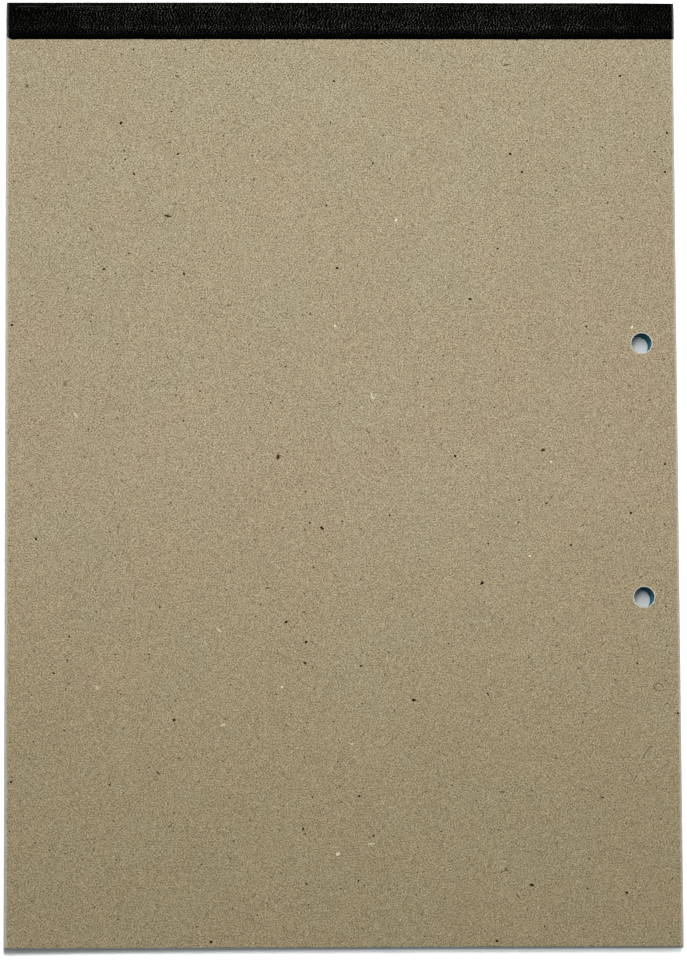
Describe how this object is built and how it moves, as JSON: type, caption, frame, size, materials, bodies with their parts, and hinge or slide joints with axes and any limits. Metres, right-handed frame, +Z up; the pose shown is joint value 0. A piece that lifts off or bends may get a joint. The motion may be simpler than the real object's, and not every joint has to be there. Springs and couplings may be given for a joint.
{
  "type": "lined writing pad",
  "caption": "Head-bound lined writing pad lying face down, with a greyboard back, black cloth tape round the head, hinged sheets and cover, and punched filing holes.",
  "frame": {"origin": "middle of the pad's plan, on the plane that the front cover's outer face lies on", "axes": "+Y to the bound head, +X to the side with the filing holes, +Z up through the pad, from the front cover to the back board"},
  "size_m": [0.21, 0.2974, 0.0076],
  "materials": {
    "ruled_paper": "matte",
    "greyboard": "matte",
    "cover_card": "satin",
    "tape_cloth": "satin",
    "padding_glue": "satin"
  },
  "bodies": {
    "pad_block": {"sheet_01": "ruled_paper", "padding_glue": "padding_glue", "binding_tape": "tape_cloth"},
    "front_cover": {"front_cover": "cover_card"},
    "back_board": {"back_board": "greyboard"},
    "sheet_02": {"sheet_02": "ruled_paper"},
    "sheet_03": {"sheet_03": "ruled_paper"},
    "sheet_04": {"sheet_04": "ruled_paper"},
    "sheet_05": {"sheet_05": "ruled_paper"},
    "sheet_06": {"sheet_06": "ruled_paper"},
    "sheet_07": {"sheet_07": "ruled_paper"},
    "sheet_08": {"sheet_08": "ruled_paper"},
    "sheet_09": {"sheet_09": "ruled_paper"},
    "sheet_10": {"sheet_10": "ruled_paper"},
    "sheet_11": {"sheet_11": "ruled_paper"},
    "sheet_12": {"sheet_12": "ruled_paper"},
    "sheet_13": {"sheet_13": "ruled_paper"},
    "sheet_14": {"sheet_14": "ruled_paper"},
    "sheet_15": {"sheet_15": "ruled_paper"},
    "sheet_16": {"sheet_16": "ruled_paper"},
    "sheet_17": {"sheet_17": "ruled_paper"},
    "sheet_18": {"sheet_18": "ruled_paper"},
    "sheet_19": {"sheet_19": "ruled_paper"},
    "sheet_20": {"sheet_20": "ruled_paper"},
    "sheet_21": {"sheet_21": "ruled_paper"},
    "sheet_22": {"sheet_22": "ruled_paper"},
    "sheet_23": {"sheet_23": "ruled_paper"},
    "sheet_24": {"sheet_24": "ruled_paper"},
    "sheet_25": {"sheet_25": "ruled_paper"},
    "sheet_26": {"sheet_26": "ruled_paper"},
    "sheet_27": {"sheet_27": "ruled_paper"},
    "sheet_28": {"sheet_28": "ruled_paper"},
    "sheet_29": {"sheet_29": "ruled_paper"},
    "sheet_30": {"sheet_30": "ruled_paper"},
    "sheet_31": {"sheet_31": "ruled_paper"},
    "sheet_32": {"sheet_32": "ruled_paper"},
    "sheet_33": {"sheet_33": "ruled_paper"},
    "sheet_34": {"sheet_34": "ruled_paper"},
    "sheet_35": {"sheet_35": "ruled_paper"},
    "sheet_36": {"sheet_36": "ruled_paper"},
    "sheet_37": {"sheet_37": "ruled_paper"},
    "sheet_38": {"sheet_38": "ruled_paper"},
    "sheet_39": {"sheet_39": "ruled_paper"},
    "sheet_40": {"sheet_40": "ruled_paper"},
    "sheet_41": {"sheet_41": "ruled_paper"},
    "sheet_42": {"sheet_42": "ruled_paper"},
    "sheet_43": {"sheet_43": "ruled_paper"},
    "sheet_44": {"sheet_44": "ruled_paper"},
    "sheet_45": {"sheet_45": "ruled_paper"},
    "sheet_46": {"sheet_46": "ruled_paper"},
    "sheet_47": {"sheet_47": "ruled_paper"},
    "sheet_48": {"sheet_48": "ruled_paper"},
    "sheet_49": {"sheet_49": "ruled_paper"},
    "sheet_50": {"sheet_50": "ruled_paper"}
  },
  "joints": [
    {"name": "cover_turn", "type": "hinge", "parent": "pad_block", "child": "front_cover", "pos_m": [0, 0.14874, 0.0006], "axis": [1, 0, 0], "range_deg": [0, 179.9], "deforming": ["binding_tape"]},
    {"name": "board_turn", "type": "hinge", "parent": "pad_block", "child": "back_board", "pos_m": [0, 0.14874, 0.00445], "axis": [-1, 0, 0], "range_deg": [0, 179], "deforming": ["binding_tape", "padding_glue"]},
    {"name": "sheet_02_turn", "type": "hinge", "parent": "pad_block", "child": "sheet_02", "pos_m": [0, 0.14874, 0.00445], "axis": [-1, 0, 0], "range_deg": [0, 0.399]},
    {"name": "sheet_03_turn", "type": "hinge", "parent": "pad_block", "child": "sheet_03", "pos_m": [0, 0.14874, 0.00445], "axis": [-1, 0, 0], "range_deg": [0, 0.83]},
    {"name": "sheet_04_turn", "type": "hinge", "parent": "pad_block", "child": "sheet_04", "pos_m": [0, 0.14874, 0.00445], "axis": [-1, 0, 0], "range_deg": [0, 1.3]},
    {"name": "sheet_05_turn", "type": "hinge", "parent": "pad_block", "child": "sheet_05", "pos_m": [0, 0.14874, 0.00445], "axis": [-1, 0, 0], "range_deg": [0, 1.8]},
    {"name": "sheet_06_turn", "type": "hinge", "parent": "pad_block", "child": "sheet_06", "pos_m": [0, 0.14874, 0.00445], "axis": [-1, 0, 0], "range_deg": [0, 2.35]},
    {"name": "sheet_07_turn", "type": "hinge", "parent": "pad_block", "child": "sheet_07", "pos_m": [0, 0.14874, 0.00445], "axis": [-1, 0, 0], "range_deg": [0, 2.96]},
    {"name": "sheet_08_turn", "type": "hinge", "parent": "pad_block", "child": "sheet_08", "pos_m": [0, 0.14874, 0.00445], "axis": [-1, 0, 0], "range_deg": [0, 3.61]},
    {"name": "sheet_09_turn", "type": "hinge", "parent": "pad_block", "child": "sheet_09", "pos_m": [0, 0.14874, 0.00445], "axis": [-1, 0, 0], "range_deg": [0, 4.33]},
    {"name": "sheet_10_turn", "type": "hinge", "parent": "pad_block", "child": "sheet_10", "pos_m": [0, 0.14874, 0.00445], "axis": [-1, 0, 0], "range_deg": [0, 5.12]},
    {"name": "sheet_11_turn", "type": "hinge", "parent": "pad_block", "child": "sheet_11", "pos_m": [0, 0.14874, 0.00445], "axis": [-1, 0, 0], "range_deg": [0, 5.98]},
    {"name": "sheet_12_turn", "type": "hinge", "parent": "pad_block", "child": "sheet_12", "pos_m": [0, 0.14874, 0.00445], "axis": [-1, 0, 0], "range_deg": [0, 6.93]},
    {"name": "sheet_13_turn", "type": "hinge", "parent": "pad_block", "child": "sheet_13", "pos_m": [0, 0.14874, 0.00445], "axis": [-1, 0, 0], "range_deg": [0, 7.99]},
    {"name": "sheet_14_turn", "type": "hinge", "parent": "pad_block", "child": "sheet_14", "pos_m": [0, 0.14874, 0.00445], "axis": [-1, 0, 0], "range_deg": [0, 9.15]},
    {"name": "sheet_15_turn", "type": "hinge", "parent": "pad_block", "child": "sheet_15", "pos_m": [0, 0.14874, 0.00445], "axis": [-1, 0, 0], "range_deg": [0, 10.44]},
    {"name": "sheet_16_turn", "type": "hinge", "parent": "pad_block", "child": "sheet_16", "pos_m": [0, 0.14874, 0.00445], "axis": [-1, 0, 0], "range_deg": [0, 11.87]},
    {"name": "sheet_17_turn", "type": "hinge", "parent": "pad_block", "child": "sheet_17", "pos_m": [0, 0.14874, 0.00445], "axis": [-1, 0, 0], "range_deg": [0, 13.46]},
    {"name": "sheet_18_turn", "type": "hinge", "parent": "pad_block", "child": "sheet_18", "pos_m": [0, 0.14874, 0.00445], "axis": [-1, 0, 0], "range_deg": [0, 15.23]},
    {"name": "sheet_19_turn", "type": "hinge", "parent": "pad_block", "child": "sheet_19", "pos_m": [0, 0.14874, 0.00445], "axis": [-1, 0, 0], "range_deg": [0, 17.22]},
    {"name": "sheet_20_turn", "type": "hinge", "parent": "pad_block", "child": "sheet_20", "pos_m": [0, 0.14874, 0.00445], "axis": [-1, 0, 0], "range_deg": [0, 19.43]},
    {"name": "sheet_21_turn", "type": "hinge", "parent": "pad_block", "child": "sheet_21", "pos_m": [0, 0.14874, 0.00445], "axis": [-1, 0, 0], "range_deg": [0, 21.9]},
    {"name": "sheet_22_turn", "type": "hinge", "parent": "pad_block", "child": "sheet_22", "pos_m": [0, 0.14874, 0.00445], "axis": [-1, 0, 0], "range_deg": [0, 24.67]},
    {"name": "sheet_23_turn", "type": "hinge", "parent": "pad_block", "child": "sheet_23", "pos_m": [0, 0.14874, 0.00445], "axis": [-1, 0, 0], "range_deg": [0, 27.77]},
    {"name": "sheet_24_turn", "type": "hinge", "parent": "pad_block", "child": "sheet_24", "pos_m": [0, 0.14874, 0.00445], "axis": [-1, 0, 0], "range_deg": [0, 31.23]},
    {"name": "sheet_25_turn", "type": "hinge", "parent": "pad_block", "child": "sheet_25", "pos_m": [0, 0.14874, 0.00445], "axis": [-1, 0, 0], "range_deg": [0, 35.1]},
    {"name": "sheet_26_turn", "type": "hinge", "parent": "pad_block", "child": "sheet_26", "pos_m": [0, 0.14874, 0.00445], "axis": [-1, 0, 0], "range_deg": [0, 39.4]},
    {"name": "sheet_27_turn", "type": "hinge", "parent": "pad_block", "child": "sheet_27", "pos_m": [0, 0.14874, 0.00445], "axis": [-1, 0, 0], "range_deg": [0, 44.16]},
    {"name": "sheet_28_turn", "type": "hinge", "parent": "pad_block", "child": "sheet_28", "pos_m": [0, 0.14874, 0.00445], "axis": [-1, 0, 0], "range_deg": [0, 49.4]},
    {"name": "sheet_29_turn", "type": "hinge", "parent": "pad_block", "child": "sheet_29", "pos_m": [0, 0.14874, 0.00445], "axis": [-1, 0, 0], "range_deg": [0, 55.13]},
    {"name": "sheet_30_turn", "type": "hinge", "parent": "pad_block", "child": "sheet_30", "pos_m": [0, 0.14874, 0.00445], "axis": [-1, 0, 0], "range_deg": [0, 61.34]},
    {"name": "sheet_31_turn", "type": "hinge", "parent": "pad_block", "child": "sheet_31", "pos_m": [0, 0.14874, 0.00445], "axis": [-1, 0, 0], "range_deg": [0, 67.99]},
    {"name": "sheet_32_turn", "type": "hinge", "parent": "pad_block", "child": "sheet_32", "pos_m": [0, 0.14874, 0.00445], "axis": [-1, 0, 0], "range_deg": [0, 75.03]},
    {"name": "sheet_33_turn", "type": "hinge", "parent": "pad_block", "child": "sheet_33", "pos_m": [0, 0.14874, 0.00445], "axis": [-1, 0, 0], "range_deg": [0, 82.37]},
    {"name": "sheet_34_turn", "type": "hinge", "parent": "pad_block", "child": "sheet_34", "pos_m": [0, 0.14874, 0.00445], "axis": [-1, 0, 0], "range_deg": [0, 89.9]},
    {"name": "sheet_35_turn", "type": "hinge", "parent": "pad_block", "child": "sheet_35", "pos_m": [0, 0.14874, 0.00445], "axis": [-1, 0, 0], "range_deg": [0, 97.51]},
    {"name": "sheet_36_turn", "type": "hinge", "parent": "pad_block", "child": "sheet_36", "pos_m": [0, 0.14874, 0.00445], "axis": [-1, 0, 0], "range_deg": [0, 105.06]},
    {"name": "sheet_37_turn", "type": "hinge", "parent": "pad_block", "child": "sheet_37", "pos_m": [0, 0.14874, 0.00445], "axis": [-1, 0, 0], "range_deg": [0, 112.44]},
    {"name": "sheet_38_turn", "type": "hinge", "parent": "pad_block", "child": "sheet_38", "pos_m": [0, 0.14874, 0.00445], "axis": [-1, 0, 0], "range_deg": [0, 119.53]},
    {"name": "sheet_39_turn", "type": "hinge", "parent": "pad_block", "child": "sheet_39", "pos_m": [0, 0.14874, 0.00445], "axis": [-1, 0, 0], "range_deg": [0, 126.25]},
    {"name": "sheet_40_turn", "type": "hinge", "parent": "pad_block", "child": "sheet_40", "pos_m": [0, 0.14874, 0.00445], "axis": [-1, 0, 0], "range_deg": [0, 132.54]},
    {"name": "sheet_41_turn", "type": "hinge", "parent": "pad_block", "child": "sheet_41", "pos_m": [0, 0.14874, 0.00445], "axis": [-1, 0, 0], "range_deg": [0, 138.35]},
    {"name": "sheet_42_turn", "type": "hinge", "parent": "pad_block", "child": "sheet_42", "pos_m": [0, 0.14874, 0.00445], "axis": [-1, 0, 0], "range_deg": [0, 143.67]},
    {"name": "sheet_43_turn", "type": "hinge", "parent": "pad_block", "child": "sheet_43", "pos_m": [0, 0.14874, 0.00445], "axis": [-1, 0, 0], "range_deg": [0, 148.51]},
    {"name": "sheet_44_turn", "type": "hinge", "parent": "pad_block", "child": "sheet_44", "pos_m": [0, 0.14874, 0.00445], "axis": [-1, 0, 0], "range_deg": [0, 152.89]},
    {"name": "sheet_45_turn", "type": "hinge", "parent": "pad_block", "child": "sheet_45", "pos_m": [0, 0.14874, 0.00445], "axis": [-1, 0, 0], "range_deg": [0, 156.82]},
    {"name": "sheet_46_turn", "type": "hinge", "parent": "pad_block", "child": "sheet_46", "pos_m": [0, 0.14874, 0.00445], "axis": [-1, 0, 0], "range_deg": [0, 160.35]},
    {"name": "sheet_47_turn", "type": "hinge", "parent": "pad_block", "child": "sheet_47", "pos_m": [0, 0.14874, 0.00445], "axis": [-1, 0, 0], "range_deg": [0, 163.51]},
    {"name": "sheet_48_turn", "type": "hinge", "parent": "pad_block", "child": "sheet_48", "pos_m": [0, 0.14874, 0.00445], "axis": [-1, 0, 0], "range_deg": [0, 166.33]},
    {"name": "sheet_49_turn", "type": "hinge", "parent": "pad_block", "child": "sheet_49", "pos_m": [0, 0.14874, 0.00445], "axis": [-1, 0, 0], "range_deg": [0, 168.85]},
    {"name": "sheet_50_turn", "type": "hinge", "parent": "pad_block", "child": "sheet_50", "pos_m": [0, 0.14874, 0.00445], "axis": [-1, 0, 0], "range_deg": [0, 171.1]}
  ],
  "couplings": [
    {"joint": "sheet_02_turn", "follows": "board_turn", "ratio": 0.00222},
    {"joint": "sheet_03_turn", "follows": "board_turn", "ratio": 0.00463},
    {"joint": "sheet_04_turn", "follows": "board_turn", "ratio": 0.00723},
    {"joint": "sheet_05_turn", "follows": "board_turn", "ratio": 0.01006},
    {"joint": "sheet_06_turn", "follows": "board_turn", "ratio": 0.01314},
    {"joint": "sheet_07_turn", "follows": "board_turn", "ratio": 0.0165},
    {"joint": "sheet_08_turn", "follows": "board_turn", "ratio": 0.02016},
    {"joint": "sheet_09_turn", "follows": "board_turn", "ratio": 0.02418},
    {"joint": "sheet_10_turn", "follows": "board_turn", "ratio": 0.02858},
    {"joint": "sheet_11_turn", "follows": "board_turn", "ratio": 0.03341},
    {"joint": "sheet_12_turn", "follows": "board_turn", "ratio": 0.03873},
    {"joint": "sheet_13_turn", "follows": "board_turn", "ratio": 0.04461},
    {"joint": "sheet_14_turn", "follows": "board_turn", "ratio": 0.05111},
    {"joint": "sheet_15_turn", "follows": "board_turn", "ratio": 0.05831},
    {"joint": "sheet_16_turn", "follows": "board_turn", "ratio": 0.0663},
    {"joint": "sheet_17_turn", "follows": "board_turn", "ratio": 0.07519},
    {"joint": "sheet_18_turn", "follows": "board_turn", "ratio": 0.0851},
    {"joint": "sheet_19_turn", "follows": "board_turn", "ratio": 0.09617},
    {"joint": "sheet_20_turn", "follows": "board_turn", "ratio": 0.10853},
    {"joint": "sheet_21_turn", "follows": "board_turn", "ratio": 0.12235},
    {"joint": "sheet_22_turn", "follows": "board_turn", "ratio": 0.13783},
    {"joint": "sheet_23_turn", "follows": "board_turn", "ratio": 0.15514},
    {"joint": "sheet_24_turn", "follows": "board_turn", "ratio": 0.17449},
    {"joint": "sheet_25_turn", "follows": "board_turn", "ratio": 0.19607},
    {"joint": "sheet_26_turn", "follows": "board_turn", "ratio": 0.22008},
    {"joint": "sheet_27_turn", "follows": "board_turn", "ratio": 0.24668},
    {"joint": "sheet_28_turn", "follows": "board_turn", "ratio": 0.27597},
    {"joint": "sheet_29_turn", "follows": "board_turn", "ratio": 0.30799},
    {"joint": "sheet_30_turn", "follows": "board_turn", "ratio": 0.34268},
    {"joint": "sheet_31_turn", "follows": "board_turn", "ratio": 0.37984},
    {"joint": "sheet_32_turn", "follows": "board_turn", "ratio": 0.41915},
    {"joint": "sheet_33_turn", "follows": "board_turn", "ratio": 0.46014},
    {"joint": "sheet_34_turn", "follows": "board_turn", "ratio": 0.50222},
    {"joint": "sheet_35_turn", "follows": "board_turn", "ratio": 0.54472},
    {"joint": "sheet_36_turn", "follows": "board_turn", "ratio": 0.58692},
    {"joint": "sheet_37_turn", "follows": "board_turn", "ratio": 0.62813},
    {"joint": "sheet_38_turn", "follows": "board_turn", "ratio": 0.66776},
    {"joint": "sheet_39_turn", "follows": "board_turn", "ratio": 0.70531},
    {"joint": "sheet_40_turn", "follows": "board_turn", "ratio": 0.74042},
    {"joint": "sheet_41_turn", "follows": "board_turn", "ratio": 0.7729},
    {"joint": "sheet_42_turn", "follows": "board_turn", "ratio": 0.80264},
    {"joint": "sheet_43_turn", "follows": "board_turn", "ratio": 0.82968},
    {"joint": "sheet_44_turn", "follows": "board_turn", "ratio": 0.85412},
    {"joint": "sheet_45_turn", "follows": "board_turn", "ratio": 0.87609},
    {"joint": "sheet_46_turn", "follows": "board_turn", "ratio": 0.8958},
    {"joint": "sheet_47_turn", "follows": "board_turn", "ratio": 0.91344},
    {"joint": "sheet_48_turn", "follows": "board_turn", "ratio": 0.9292},
    {"joint": "sheet_49_turn", "follows": "board_turn", "ratio": 0.94329},
    {"joint": "sheet_50_turn", "follows": "board_turn", "ratio": 0.95588}
  ]
}
